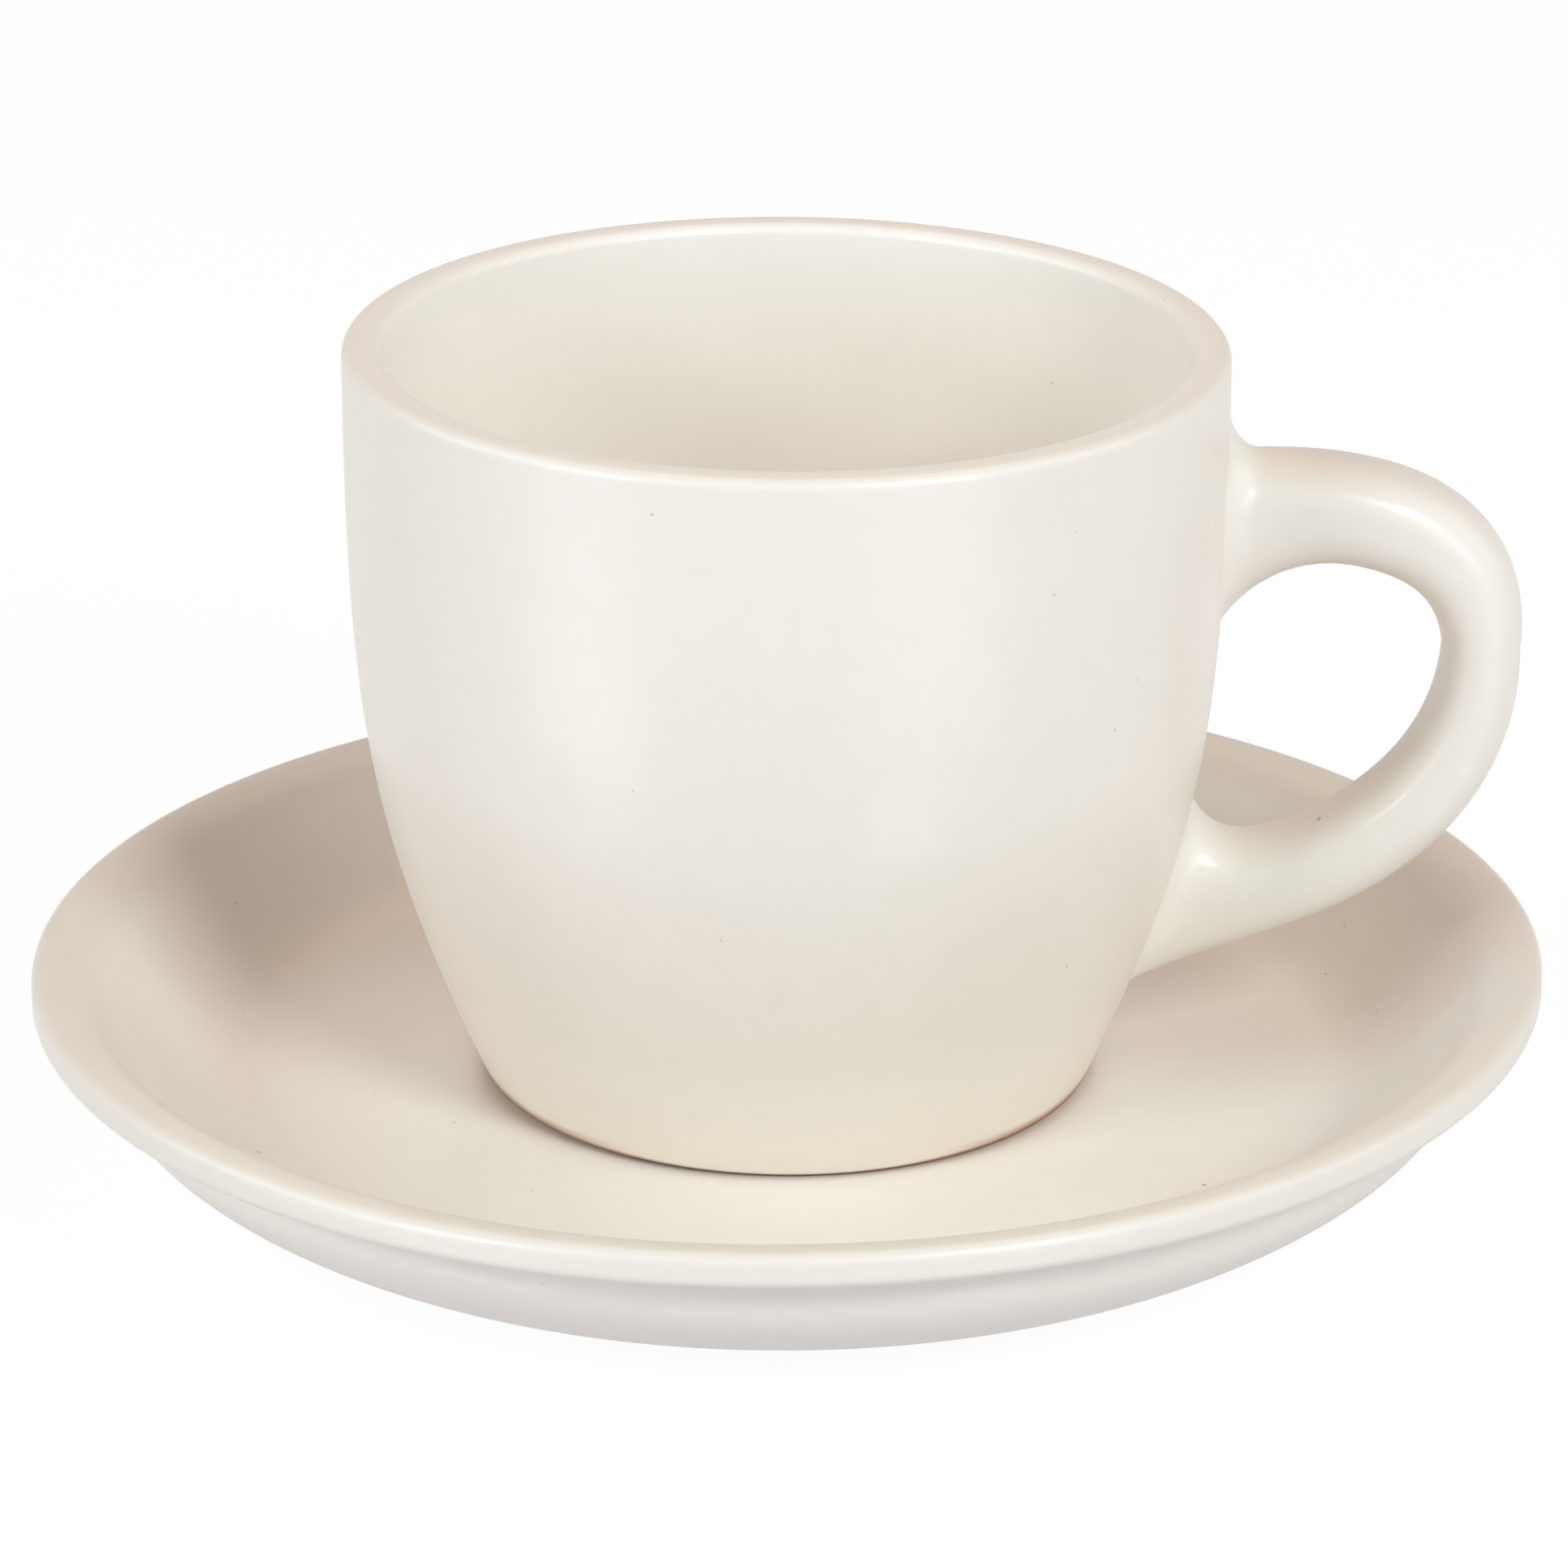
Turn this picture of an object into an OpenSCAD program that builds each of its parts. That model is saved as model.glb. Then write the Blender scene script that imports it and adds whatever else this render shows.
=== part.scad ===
// Espresso cup with saucer, glazed stoneware.
// The saucer is a shallow dish with a thick overhanging lip and a turned foot ring.
// The cup is a thrown bowl form with a rounded lip, and stands on the flat floor of the saucer.
// The handle is a separately pressed strap, cut to the wall of the cup and luted on.
// Origin: middle of the saucer's foot, on the table. +Z is up, and the handle points to +X.

/* [Saucer] */
// Diameter across the lip of the saucer
saucer_d = 118; // [108:1:130]
// Height of the saucer, from the table to the top of its lip
saucer_h = 17.8; // [16.5:0.1:21]
// Height of the flat floor that the cup stands on, above the table
saucer_floor_h = 8; // [7:0.1:9]
// Thickness of the floor inside the foot ring
saucer_floor_t = 4.5; // [3.5:0.1:5.5]
// Thickness of the lip at its edge
saucer_lip_t = 2.7; // [2.2:0.1:3.2]
// Rounding of the lip's edge
saucer_lip_round = 0.85; // [0.5:0.05:1]
// Radius of the soft roll from the top of the lip into the dish
saucer_lip_roll = 6; // [5:0.1:7]
// Slope of the dish wall, in degrees from level
saucer_wall_slope = 47.5; // [42:0.5:55]
// How far the lip stands out over the wall below it
saucer_overhang = 5.2; // [4:0.1:6]
// Depth below the lip's top at which the outer wall stands upright
saucer_wall_drop = 6.2; // [5.5:0.1:7]
// Outer diameter of the foot ring
saucer_foot_d = 74.6; // [66:0.2:80]
// Width of the foot ring
saucer_foot_w = 2.8; // [2.2:0.1:4]
// Height of the foot ring where the underside springs from it
saucer_foot_h = 1.3; // [1:0.1:1.6]

/* [Cup] */
// Height of the cup, from its foot to the top of its lip
cup_h = 59; // [53:0.5:66]
// Diameter across the lip of the cup
cup_rim_d = 67.6; // [62:0.2:74]
// Diameter where the wall turns under to the foot
cup_base_d = 47.8; // [44:0.2:51]
// Lean of the wall just above the foot, in degrees from upright
cup_base_lean = 23.6; // [18:0.2:28]
// Height over which the wall turns under to the foot
cup_turn_h = 1.3; // [0.9:0.1:1.8]
// Thickness of the lip
cup_lip_t = 3; // [2.5:0.1:3.6]
// Height over which the lip is rounded
cup_lip_h = 2.5; // [1.5:0.1:3]
// Thickness of the wall near the floor
cup_wall_t = 3.6; // [3:0.1:4.4]
// Thickness of the floor
cup_floor_t = 4.6; // [3.8:0.1:5.5]
// Outer diameter of the ring that the cup stands on
cup_foot_d = 44.4; // [41:0.2:45]
// Width of the ring that the cup stands on
cup_foot_w = 2.6; // [2:0.1:3.4]
// Depth of the hollow inside that ring
cup_foot_hollow = 1.6; // [1:0.1:2]

/* [Handle] */
// How far the handle stands out from the rim
handle_span = 22.8; // [20:0.2:25]
// Depth of the upper joint's middle below the lip
handle_drop = 12.9; // [12:0.1:15]
// Height of the lower joint's middle above the foot
handle_low_h = 13.5; // [12:0.1:16]
// Thickness of the handle by the upper joint
handle_upper_t = 8.3; // [7:0.1:9.5]
// Thickness of the handle where it is gripped
handle_grip_t = 6; // [5:0.1:7]
// Thickness of the handle by the lower joint
handle_lower_t = 7.5; // [6.5:0.1:8.5]
// Width of the handle
handle_w = 9.2; // [7.5:0.1:11]
// How much the handle flares towards the finger gap at the upper joint
upper_flare = 5; // [3:0.1:6]
// Length over which the upper joint flares
upper_flare_run = 12; // [9:0.2:14]
// How much the handle flares towards the finger gap at the lower joint
lower_flare = 5.9; // [4:0.1:7]
// How much the handle flares underneath at the lower joint
lower_heel = 1.5; // [0:0.1:2.5]
// Length over which the lower joint flares
lower_flare_run = 13.8; // [10:0.2:16]
// Rise of the short collar over the upper joint
collar_rise = 3.1; // [1.5:0.1:4]
// Spread of the short collar to either side of each joint
collar_spread = 2.4; // [1:0.1:3.4]
// Length of the short collar
collar_run = 2.8; // [2:0.1:4]

/* [Hidden] */
$fn = 180;

glaze_colour = [0.93, 0.91, 0.87];

// Rounding of the edges of both foot rings
foot_round = 0.6;
// Width of the hollow corner between the saucer's foot ring and its underside
saucer_foot_cove = 1.2;
// Length of the handle blank that runs on into the wall before it is cut to fit
blank_run = 7;

// How far the pulls of each curve reach, as shares of its span
belly_low_share = 0.53;
belly_high_share = 0.343;
cove_share = 0.55;
dish_bend_share = 0.7;
turn_share = 0.6;
cup_low_share = 0.404;
cup_high_share = 0.465;
corner_share = 0.6;
// Share of the cup's wall, from the foot, at which the inside starts to round into the floor
inside_share = 0.22;
// Share of the inside radius that the rounding at the floor takes up
floor_bend_share = 0.34;
// Where the flat of the dish ends, as a share of the way from the axis to the foot of its wall
dish_flat_share = 0.915;

// Shares for the run of the handle
crown_share = 0.656;
upper_out_share = 0.56;
upper_crown_share = 0.872;
lower_crown_share = 0.504;
lower_out_share = 0.66;
// Rise of the handle as it leaves the upper and the lower joint, in degrees
upper_rise = 3.7;
lower_rise = 7;
// How late the handle thins and thickens along its run
upper_taper = 2.86;
lower_taper = 1.8;

// Slope of the saucer's underside where it leaves the foot, in degrees from level
belly_slope = 17.3;

// Numbers of steps along curves, and of sides of the handle
long_steps = 24;
short_steps = 8;
run_steps = 20;
handle_sides = 28;

saucer_r = saucer_d / 2;
cup_rim_r = cup_rim_d / 2;
cup_base_r = cup_base_d / 2;
cup_foot_r = cup_foot_d / 2;
saucer_foot_r = saucer_foot_d / 2;

// Curves in the plane of a section: [distance from the axis, height]

function along(angle) = [cos(angle), sin(angle)];

// Point on a curve that leaves a towards b and reaches d from c
function curve_point(a, b, c, d, t) =
    pow(1 - t, 3) * a + 3 * t * pow(1 - t, 2) * b + 3 * t * t * (1 - t) * c + pow(t, 3) * d;

// Direction of that curve
function curve_way(a, b, c, d, t) =
    let (way = pow(1 - t, 2) * (b - a) + 2 * t * (1 - t) * (c - b) + t * t * (d - c))
    way / norm(way);

function curve(a, b, c, d, steps) = [for (i = [0 : steps]) curve_point(a, b, c, d, i / steps)];

// Stretch of an ellipse round a middle point
function bow(middle, half_w, half_h, from, to, steps) = [
    for (i = [0 : steps])
        let (angle = from + (to - from) * i / steps)
        middle + [half_w * cos(angle), half_h * sin(angle)]
];

// A list without its first point, which the list before it already has
function rest(points) = [for (i = [1 : len(points) - 1]) points[i]];

// Ring that a piece stands on: from the hollow inside it, down and along the ground to its outer edge
function foot_ring(inner_r, hollow_h) = concat(
    [[0, hollow_h], [inner_r, hollow_h]],
    bow([inner_r + foot_round, foot_round], foot_round, foot_round, 180, 270, short_steps)
);

// Saucer

saucer_lip_mid = saucer_r - saucer_lip_round;
saucer_wall_foot = [saucer_foot_r + saucer_foot_cove, saucer_foot_h];
saucer_wall_top = [saucer_r - saucer_overhang, saucer_h - saucer_wall_drop];
saucer_lip_under = [saucer_lip_mid, saucer_h - saucer_lip_t];
saucer_roll_mid = [saucer_lip_mid, saucer_h - saucer_lip_roll];
saucer_neck = saucer_roll_mid + saucer_lip_roll * along(90 + saucer_wall_slope);
saucer_wall_end = [
    saucer_neck[0] - (saucer_neck[1] - saucer_floor_h) / tan(saucer_wall_slope),
    saucer_floor_h
];
saucer_flat_end = [saucer_wall_end[0] * dish_flat_share, saucer_floor_h];

function saucer_belly() =
    let (
        size = saucer_wall_top - saucer_wall_foot,
        low = saucer_wall_foot + size[0] * belly_low_share * along(belly_slope),
        high = saucer_wall_top - [0, size[1] * belly_high_share]
    )
    curve(saucer_wall_foot, low, high, saucer_wall_top, long_steps);

function saucer_foot_side() =
    let (side = [saucer_foot_r, foot_round])
    curve(
        side,
        [side[0], saucer_wall_foot[1]],
        saucer_wall_foot - saucer_foot_cove * (1 - turn_share) * along(belly_slope),
        saucer_wall_foot,
        short_steps
    );

function saucer_cove() =
    let (size = saucer_lip_under - saucer_wall_top)
    curve(
        saucer_wall_top,
        saucer_wall_top + [0, size[1] * cove_share],
        saucer_lip_under - [size[0] * cove_share, 0],
        saucer_lip_under,
        short_steps
    );

function saucer_lip() = concat(
    rest(bow(saucer_lip_under + [0, saucer_lip_round], saucer_lip_round, saucer_lip_round,
        -90, 0, short_steps)),
    bow([saucer_lip_mid, saucer_h - saucer_lip_round], saucer_lip_round, saucer_lip_round,
        0, 90, short_steps),
    rest(bow(saucer_roll_mid, saucer_lip_roll, saucer_lip_roll, 90, 90 + saucer_wall_slope, short_steps))
);

function saucer_dish() = curve(
    saucer_neck,
    saucer_neck + dish_bend_share * (saucer_wall_end - saucer_neck),
    saucer_flat_end + dish_bend_share * (saucer_wall_end - saucer_flat_end),
    saucer_flat_end,
    long_steps
);

saucer_section = concat(
    foot_ring(saucer_foot_r - saucer_foot_w, saucer_floor_h - saucer_floor_t),
    bow([saucer_foot_r - foot_round, foot_round], foot_round, foot_round, 270, 360, short_steps),
    rest(saucer_foot_side()),
    rest(saucer_belly()),
    rest(saucer_cove()),
    saucer_lip(),
    rest(saucer_dish()),
    [[0, saucer_floor_h]]
);

module saucer() {
    color(glaze_colour)
        rotate_extrude()
            polygon(saucer_section);
}

// Cup, in heights above its own foot

cup_wall_foot = [cup_base_r, cup_turn_h];
cup_wall_top = [cup_rim_r, cup_h - cup_lip_h];
cup_wall_size = cup_wall_top[1] - cup_wall_foot[1];
cup_wall_low = cup_wall_foot + cup_wall_size * cup_low_share * along(90 - cup_base_lean);
cup_wall_high = cup_wall_top - [0, cup_wall_size * cup_high_share];

function cup_wall(t) = curve_point(cup_wall_foot, cup_wall_low, cup_wall_high, cup_wall_top, t);
function cup_wall_way(t) = curve_way(cup_wall_foot, cup_wall_low, cup_wall_high, cup_wall_top, t);

// Inside of the wall: the outside, stepped in by a thickness that runs from the wall's to the lip's
function cup_inside(t) =
    let (
        way = cup_wall_way(t),
        share = (t - inside_share) / (1 - inside_share),
        thickness = cup_wall_t + (cup_lip_t - cup_wall_t) * share
    )
    cup_wall(t) + thickness * [-way[1], way[0]];

cup_wall_line = [for (i = [0 : long_steps]) cup_wall(i / long_steps)];
cup_inside_line = [for (i = [long_steps : -1 : 0]) cup_inside(inside_share + (1 - inside_share) * i / long_steps)];

// From the edge of the foot up to the wall
function cup_turn() =
    let (
        edge = [cup_foot_r, 0],
        size = cup_wall_foot - edge
    )
    curve(
        edge,
        edge + [size[0] * turn_share, 0],
        cup_wall_foot - size[1] * turn_share * along(90 - cup_base_lean),
        cup_wall_foot,
        short_steps
    );

function cup_lip(from, to) =
    bow([cup_rim_r - cup_lip_t / 2, cup_wall_top[1]], cup_lip_t / 2, cup_lip_h, from, to, short_steps);

// From the inside of the wall down to the floor
function cup_corner() =
    let (
        start = cup_inside(inside_share),
        way = cup_wall_way(inside_share),
        depth = start[1] - cup_floor_t,
        end = [start[0] * (1 - floor_bend_share), cup_floor_t]
    )
    curve(
        start,
        start - depth * corner_share * way,
        end + [start[0] * floor_bend_share * corner_share, 0],
        end,
        long_steps
    );

cup_outer_line = concat(cup_turn(), rest(cup_wall_line), rest(cup_lip(0, 90)));

cup_section = concat(
    foot_ring(cup_foot_r - cup_foot_w, cup_foot_hollow),
    cup_outer_line,
    rest(cup_lip(90, 180)),
    rest(cup_inside_line),
    rest(cup_corner()),
    [[0, cup_floor_t]]
);

module on_saucer() {
    translate([0, 0, saucer_floor_h])
        children();
}

module cup_body() {
    color(glaze_colour)
        on_saucer()
            rotate_extrude()
                polygon(cup_section);
}

// Whole outer form of the cup without its hollow, which the handle is cut to
module cup_form() {
    rotate_extrude()
        polygon(concat([[0, 0]], cup_outer_line, [[0, cup_h]]));
}

// Handle, in heights above the foot of the cup

function wall_radius(height) = lookup(height, [for (p = cup_wall_line) [p[1], p[0]]]);

upper_h = cup_h - handle_drop;
upper_root = [wall_radius(upper_h), upper_h];
lower_root = [wall_radius(handle_low_h), handle_low_h];
crown = [
    cup_rim_r + handle_span - handle_grip_t / 2,
    handle_low_h + crown_share * (upper_h - handle_low_h)
];
upper_size = [crown[0] - upper_root[0], upper_root[1] - crown[1]];
lower_size = [crown[0] - lower_root[0], crown[1] - lower_root[1]];
upper_way = along(upper_rise);
lower_way = along(180 + lower_rise);

// The four points of the run from the upper joint to the crown, and from the crown to the lower joint
upper_run = [
    upper_root,
    upper_root + upper_size[0] * upper_out_share * upper_way,
    crown + [0, upper_size[1] * upper_crown_share],
    crown
];
lower_run = [
    crown,
    crown - [0, lower_size[1] * lower_crown_share],
    lower_root - lower_size[0] * lower_out_share * lower_way,
    lower_root
];

function run_point(run, t) = curve_point(run[0], run[1], run[2], run[3], t);
function run_way(run, t) = curve_way(run[0], run[1], run[2], run[3], t);

// Flare that is whole at a joint and fades out over a run from it
function fade(place, root, run, power) = pow(max(0, 1 - norm(place - root) / run), power);

// One oval of the handle: place, way, half thickness outwards, towards the gap, and half width
function upper_oval(t) =
    let (
        place = run_point(upper_run, t),
        half = (handle_upper_t + (handle_grip_t - handle_upper_t) * pow(t, upper_taper)) / 2,
        flare = fade(place, upper_root, upper_flare_run, 3),
        collar = fade(place, upper_root, collar_run, 2)
    )
    [
        place, run_way(upper_run, t),
        half + collar_rise * collar,
        half + upper_flare * flare,
        handle_w / 2 + collar_spread * collar
    ];

function lower_oval(t) =
    let (
        place = run_point(lower_run, t),
        half = (handle_lower_t + (handle_grip_t - handle_lower_t) * pow(1 - t, lower_taper)) / 2,
        flare = fade(place, lower_root, lower_flare_run, 3),
        collar = fade(place, lower_root, collar_run, 2)
    )
    [
        place, run_way(lower_run, t),
        half + lower_heel * flare,
        half + lower_flare * flare,
        handle_w / 2 + collar_spread * collar
    ];

// An oval moved on into the wall
function sunk(oval, way) = [oval[0] + blank_run * way, oval[1], oval[2], oval[3], oval[4]];

handle_ovals = concat(
    [sunk(upper_oval(0), -upper_way)],
    [for (i = [0 : run_steps]) upper_oval(i / run_steps)],
    [for (i = [1 : run_steps]) lower_oval(i / run_steps)],
    [sunk(lower_oval(1), lower_way)]
);

function oval_points(oval) =
    let (outwards = [-oval[1][1], oval[1][0]])
    [
        for (i = [0 : handle_sides - 1])
            let (
                angle = 360 * i / handle_sides,
                reach = cos(angle) * (cos(angle) > 0 ? oval[2] : oval[3]),
                place = oval[0] + reach * outwards
            )
            [place[0], oval[4] * sin(angle), place[1]]
    ];

module handle_blank() {
    rings = len(handle_ovals);
    points = [for (oval = handle_ovals) each oval_points(oval)];
    sides = [
        for (k = [0 : rings - 2], i = [0 : handle_sides - 1])
            let (
                a = k * handle_sides + i,
                b = k * handle_sides + (i + 1) % handle_sides
            )
            each [[a, b, b + handle_sides], [a, b + handle_sides, a + handle_sides]]
    ];
    ends = [
        for (i = [1 : handle_sides - 2])
            let (last = (rings - 1) * handle_sides)
            each [[0, i + 1, i], [last, last + i, last + i + 1]]
    ];
    polyhedron(points, concat(sides, ends), convexity = 4);
}

module cup_handle() {
    color(glaze_colour)
        on_saucer()
            difference() {
                handle_blank();
                cup_form();
            }
}

saucer();
cup_body();
cup_handle();
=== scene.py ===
"""Looks of an espresso cup with saucer in satin cream glaze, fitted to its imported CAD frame."""

import math

import bpy
import numpy as np
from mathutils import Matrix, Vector


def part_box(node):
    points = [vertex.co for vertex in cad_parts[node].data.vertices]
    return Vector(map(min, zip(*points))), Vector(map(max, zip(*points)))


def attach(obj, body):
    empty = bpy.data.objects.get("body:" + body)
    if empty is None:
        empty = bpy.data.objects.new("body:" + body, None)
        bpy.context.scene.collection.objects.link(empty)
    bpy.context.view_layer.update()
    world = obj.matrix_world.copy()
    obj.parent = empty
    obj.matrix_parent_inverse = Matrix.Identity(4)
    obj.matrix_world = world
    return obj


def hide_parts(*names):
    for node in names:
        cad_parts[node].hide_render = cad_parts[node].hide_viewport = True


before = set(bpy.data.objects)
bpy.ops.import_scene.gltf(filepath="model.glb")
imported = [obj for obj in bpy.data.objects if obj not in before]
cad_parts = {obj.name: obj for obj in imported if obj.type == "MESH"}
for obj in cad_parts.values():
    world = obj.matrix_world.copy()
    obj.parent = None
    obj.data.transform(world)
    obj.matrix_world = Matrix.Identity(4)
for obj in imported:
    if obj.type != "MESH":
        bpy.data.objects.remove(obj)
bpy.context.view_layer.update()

bl_info = {
    "name": "Espresso cup with saucer",
    "version": (1, 0, 0),
    "blender": (4, 5, 0),
    "location": "3D View > Sidebar > Espresso cup",
    "description": "Builds a glazed espresso cup with its handle and saucer, and a plain studio",
    "category": "Object",
}

MM = 0.001
SIDES = 256

# Height of the saucer's floor, which the foot of the cup stands on
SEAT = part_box("cup_body")[0].z


def length(name, description, millimetres):
    """A length that the user can change, given in millimetres and kept in metres."""
    return bpy.props.FloatProperty(
        name=name, description=description, default=millimetres * MM, unit="LENGTH", subtype="DISTANCE"
    )


def share(name, description, value):
    """A share from 0 to 1 that the user can change."""
    return bpy.props.FloatProperty(
        name=name, description=description, default=value, min=0.0, max=1.0, subtype="FACTOR"
    )


def turn(name, description, degrees):
    """An angle that the user can change, given in degrees and kept in radians."""
    return bpy.props.FloatProperty(
        name=name, description=description, default=math.radians(degrees), unit="ROTATION", subtype="ANGLE"
    )


def colour(name, description, value):
    """A colour that the user can change."""
    return bpy.props.FloatVectorProperty(
        name=name, description=description, default=value, size=3, min=0.0, max=1.0, subtype="COLOR"
    )


class SaucerSizes(bpy.types.PropertyGroup):
    """Sizes of the saucer."""

    across: length("Across", "Diameter across the lip", 118)
    height: length("Height", "From the table to the top of the lip", 17.8)
    floor_thickness: length("Floor thickness", "Thickness of the floor inside the foot ring", 4.5)
    lip: length("Lip thickness", "Thickness of the lip at its edge", 2.7)
    lip_round: length("Lip rounding", "Rounding of the lip's edge", 0.85)
    lip_roll: length("Lip roll", "Radius of the roll from the lip into the dish", 6)
    wall_slope: turn("Wall slope", "Slope of the dish wall from level", 47.5)
    overhang: length("Overhang", "How far the lip stands out over the wall below it", 5.2)
    wall_drop: length("Wall drop", "Depth below the lip's top at which the outer wall stands upright", 6.2)
    belly_slope: turn("Belly slope", "Slope of the underside where it leaves the foot", 17.3)
    foot_across: length("Foot across", "Outer diameter of the foot ring", 74.6)
    foot_width: length("Foot width", "Width of the foot ring", 2.8)
    foot_height: length("Foot height", "Height at which the underside springs from the foot ring", 1.3)


class CupSizes(bpy.types.PropertyGroup):
    """Sizes of the cup's body."""

    height: length("Height", "From the foot to the top of the lip", 59)
    across: length("Across", "Diameter across the lip", 67.6)
    base_across: length("Base across", "Diameter where the wall turns under to the foot", 47.8)
    base_lean: turn("Base lean", "Lean of the wall just above the foot, from upright", 23.6)
    turn_height: length("Turn height", "Height over which the wall turns under to the foot", 0.65)
    lip: length("Lip thickness", "Thickness of the lip", 3)
    lip_height: length("Lip height", "Height of the upright part of the lip", 2.5)
    lip_edge: length("Lip edge", "Rounding of the two edges of the lip", 0.85)
    wall: length("Wall thickness", "Thickness of the wall near the floor", 3.6)
    floor: length("Floor thickness", "Thickness of the floor", 4.6)
    foot_across: length("Foot across", "Outer diameter of the ring that the cup stands on", 45.8)
    foot_width: length("Foot width", "Width of the ring that the cup stands on", 2.6)
    foot_hollow: length("Foot hollow", "Depth of the hollow inside that ring", 1.6)


class HandleSizes(bpy.types.PropertyGroup):
    """Sizes of the handle."""

    span: length("Span", "How far the handle stands out from the rim", 22.8)
    drop: length("Drop", "Depth of the upper joint's middle below the lip", 12.9)
    low_height: length("Low height", "Height of the lower joint's middle above the foot", 13.5)
    upper: length("Upper thickness", "Thickness by the upper joint", 8.3)
    grip: length("Grip thickness", "Thickness where the handle is gripped", 6)
    lower: length("Lower thickness", "Thickness by the lower joint", 7.5)
    width: length("Width", "Width of the handle", 9.2)
    upper_flare: length("Upper flare", "Flare towards the finger gap at the upper joint", 5)
    upper_run: length("Upper flare length", "Length over which the upper joint flares", 12)
    lower_flare: length("Lower flare", "Flare towards the finger gap at the lower joint", 4.8)
    lower_heel: length("Lower heel", "Flare underneath at the lower joint", 2.4)
    lower_run: length("Lower flare length", "Length over which the lower joint flares", 13.8)
    collar: length("Collar rise", "Rise of the short collar over the upper joint", 3.9)
    collar_spread: length("Collar spread", "Spread of the short collar to either side", 2.1)
    collar_run: length("Collar length", "Length of the short collar", 2.4)


class GlazeLook(bpy.types.PropertyGroup):
    """Colours and finish of the glaze, and the colour of the unglazed clay, which also paints the contact
    shade under the cup.
    """

    thin: colour("Thin glaze", "Colour of the glaze where it lies thin", (0.80, 0.735, 0.64))
    thick: colour("Thick glaze", "Colour of the glaze where it lies thick", (0.965, 0.925, 0.86))
    speck: colour("Specks", "Colour of the fine iron specks", (0.20, 0.15, 0.10))
    # This colour also paints the dark contact shade in a band up the cup's foot, widest at the sides.
    clay: colour("Bare clay", "Colour of the unglazed foot rings", (0.30, 0.11, 0.035))
    roughness: share("Roughness", "Roughness of the satin glaze", 0.42)
    coat: share("Coat", "Strength of the clear coat over the glaze", 0.18)
    coat_roughness: share("Coat roughness", "Roughness of the clear coat", 0.1)
    bump: share("Bump", "Strength of the fine unevenness of the surface", 0.5)
    bump_height: length("Bump height", "Height of that unevenness", 0.01)


class StudioLook(bpy.types.PropertyGroup):
    """Camera and light of the studio."""

    distance: length("Distance", "Distance from the camera to the middle of the object", 558.9)
    elevation: turn("Elevation", "Height of the camera over the table, as an angle", 20.94)
    aim_height: length("Aim height", "Height that the camera looks at", 31.04)
    aim_side: length("Aim side", "How far to the right of the axis the camera looks", -0.19)
    lens: bpy.props.FloatProperty(
        name="Lens", description="Focal length on a 36 mm sensor", default=164.97, unit="CAMERA"
    )
    floor: colour("Floor", "Colour of the floor", (0.82, 0.80, 0.85))


# Lines of a section: rows of [distance from the axis, height]


def along(angle):
    """The direction at that angle from level, as [out, up]."""
    return np.array([math.cos(angle), math.sin(angle)])


def run_of(a, b, c, d, t):
    """Places and unit ways, at the shares t, of the cubic that leaves a towards b and reaches d from c."""
    t = t[:, None]
    a, b, c, d = (np.asarray(point, float) for point in (a, b, c, d))
    place = (1 - t) ** 3 * a + 3 * t * (1 - t) ** 2 * b + 3 * t**2 * (1 - t) * c + t**3 * d
    way = (1 - t) ** 2 * (b - a) + 2 * t * (1 - t) * (c - b) + t**2 * (d - c)
    return place, way / np.linalg.norm(way, axis=1)[:, None]


def cubic(a, b, c, d, count):
    """A count of places along such a cubic, at even shares."""
    return run_of(a, b, c, d, np.linspace(0.0, 1.0, count))[0]


def bow(middle, half_w, half_h, start, end, count):
    """A stretch of an ellipse: the middle plus half the width times cos and half the height times sin."""
    angle = np.radians(np.linspace(start, end, count))
    return np.asarray(middle) + np.column_stack([half_w * np.cos(angle), half_h * np.sin(angle)])


def chain(*lines):
    """The lines one after another, each without a first point that repeats the last point before it."""
    parts = [np.atleast_2d(lines[0])]
    for line in lines[1:]:
        line = np.atleast_2d(line)
        repeats = np.allclose(line[0], parts[-1][-1], atol=1e-9)
        parts.append(line[1:] if repeats else line)
    return np.concatenate(parts)


# Roundings of the foot rings, and how many points a foot's hollow and each rounding have
FOOT_ROUND = 0.6 * MM
HOLLOW_ROUND = 0.8 * MM
HOLLOW_STEPS = 8
ROUND_STEPS = 6


def foot_ring(inner_r, outer_r, hollow_h):
    """Under a piece: out over the hollow, round its corner, down, and along the ground to the outer edge."""
    corner = [inner_r - HOLLOW_ROUND, hollow_h - HOLLOW_ROUND]
    middle = np.linspace([0.0, hollow_h], [corner[0], hollow_h], HOLLOW_STEPS)
    return chain(
        middle,
        bow(corner, HOLLOW_ROUND, HOLLOW_ROUND, 90, 0, ROUND_STEPS),
        bow([inner_r + FOOT_ROUND, FOOT_ROUND], FOOT_ROUND, FOOT_ROUND, 180, 270, ROUND_STEPS),
        [[(inner_r + outer_r) / 2, 0.0]],
        [[outer_r - FOOT_ROUND, 0.0]],
    )


# Width of the cove between the saucer's foot ring and its underside
FOOT_COVE = 1.2 * MM

# Shares by which the saucer's curves keep the directions at their ends, and the flat share of its floor
FOOT_COVE_PULL = 0.4
BELLY_LOW_PULL = 0.53
BELLY_HIGH_PULL = 0.343
LIP_COVE_PULL = 0.55
DISH_PULL = 0.7
DISH_FLAT = 0.915


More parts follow.
